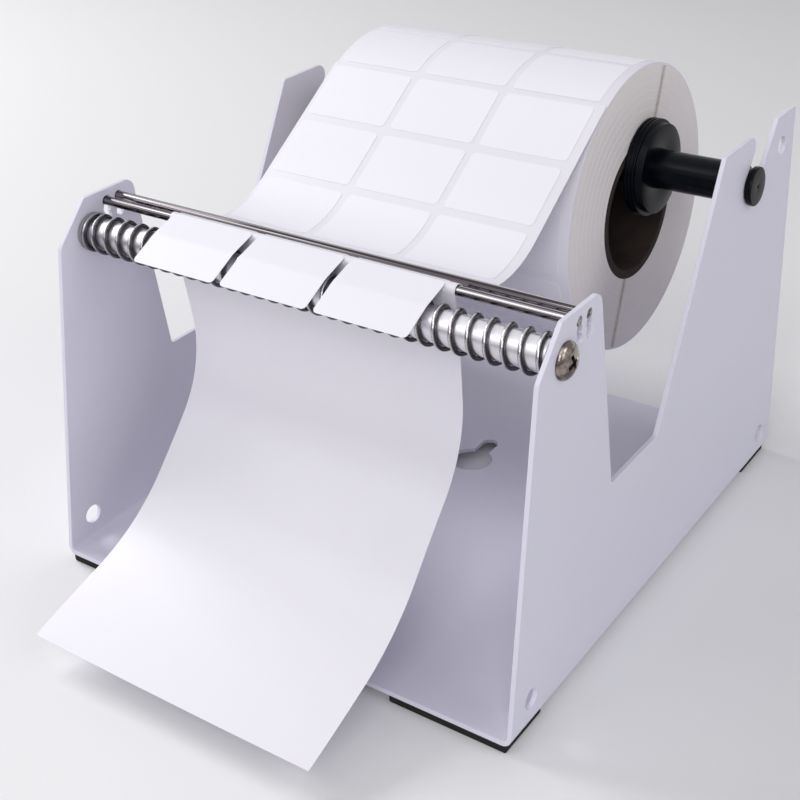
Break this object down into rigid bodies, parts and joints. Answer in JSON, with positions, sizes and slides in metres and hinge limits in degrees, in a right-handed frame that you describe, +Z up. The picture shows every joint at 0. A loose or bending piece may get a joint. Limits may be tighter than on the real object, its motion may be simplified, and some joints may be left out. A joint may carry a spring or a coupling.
{
  "type": "label dispenser machine",
  "caption": "Desk label dispenser: bent sheet frame, roll shaft in open notches, guide rods and a spring-wound roller that peels labels from a threaded web.",
  "frame": {"origin": "centre of the whole part's box, on the desk", "axes": "+X to the machine's right, +Y to the rear, +Z up"},
  "size_m": [0.1804, 0.2396, 0.1541],
  "materials": {
    "frame_coat": "fine powder coat, satin",
    "pad_rubber": "matt black rubber",
    "axle_steel": "turned steel",
    "screw_nickel": "nickel plated",
    "tube_aluminium": "satin tube",
    "bush_grey": "light grey moulded plastic",
    "spring_steel": "dark spring wire, bright on its crest",
    "rod_steel": "ground bright rod",
    "shaft_black": "black, half gloss",
    "core_board": "very dark brown paperboard",
    "roll_paper": "cut edges of wound paper",
    "label_paper": "matt white paper",
    "liner_paper": "glazed backing paper, half gloss"
  },
  "bodies": {
    "frame": {"side_frame": "frame_coat", "foot_front_left": "pad_rubber", "foot_front_right": "pad_rubber", "foot_rear_left": "pad_rubber", "foot_rear_right": "pad_rubber", "roller_axle": "axle_steel", "roller_screw_left": "screw_nickel", "roller_screw_right": "screw_nickel", "liner_strip": "liner_paper", "web_labels": "label_paper", "peeled_labels": "label_paper"},
    "roller": {"roller_tube": "tube_aluminium", "roller_bush_left": "bush_grey", "roller_bush_right": "bush_grey", "roller_spring": "spring_steel"},
    "front_rod": {"guide_rod_front": "rod_steel"},
    "rear_rod": {"guide_rod_rear": "rod_steel"},
    "roll": {"roll_core": "core_board", "label_roll": "roll_paper", "roll_labels": "label_paper"},
    "shaft": {"shaft_tube": "shaft_black", "shaft_end_left": "shaft_black", "shaft_end_right": "shaft_black"},
    "right_stop": {"hub_right": "shaft_black"},
    "left_stop": {"hub_left": "shaft_black"}
  },
  "joints": [
    {"name": "roller_spin", "type": "hinge", "parent": "frame", "child": "roller", "pos_m": [0, -0.04954, 0.112], "axis": [1, 0, 0], "continuous": true},
    {"name": "front_rod_spin", "type": "hinge", "parent": "frame", "child": "front_rod", "pos_m": [0, -0.04173, 0.11981], "axis": [1, 0, 0], "continuous": true},
    {"name": "rear_rod_spin", "type": "hinge", "parent": "frame", "child": "rear_rod", "pos_m": [0, -0.03623, 0.11981], "axis": [1, 0, 0], "continuous": true},
    {"name": "roll_spin", "type": "hinge", "parent": "frame", "child": "roll", "pos_m": [0, 0.07028, 0.1046], "axis": [1, 0, 0], "continuous": true},
    {"name": "shaft_spin", "type": "hinge", "parent": "frame", "child": "shaft", "pos_m": [0, 0.07406, 0.1187], "axis": [1, 0, 0], "continuous": true},
    {"name": "right_stop_slide", "type": "slide", "parent": "shaft", "child": "right_stop", "axis": [1, 0, 0], "range_m": [0, 0.0294]},
    {"name": "left_stop_slide", "type": "slide", "parent": "shaft", "child": "left_stop", "axis": [-1, 0, 0], "range_m": [0, 0.023]}
  ],
  "couplings": [
    {"joint": "shaft_spin", "follows": "roll_spin", "ratio": 3.2576}
  ]
}
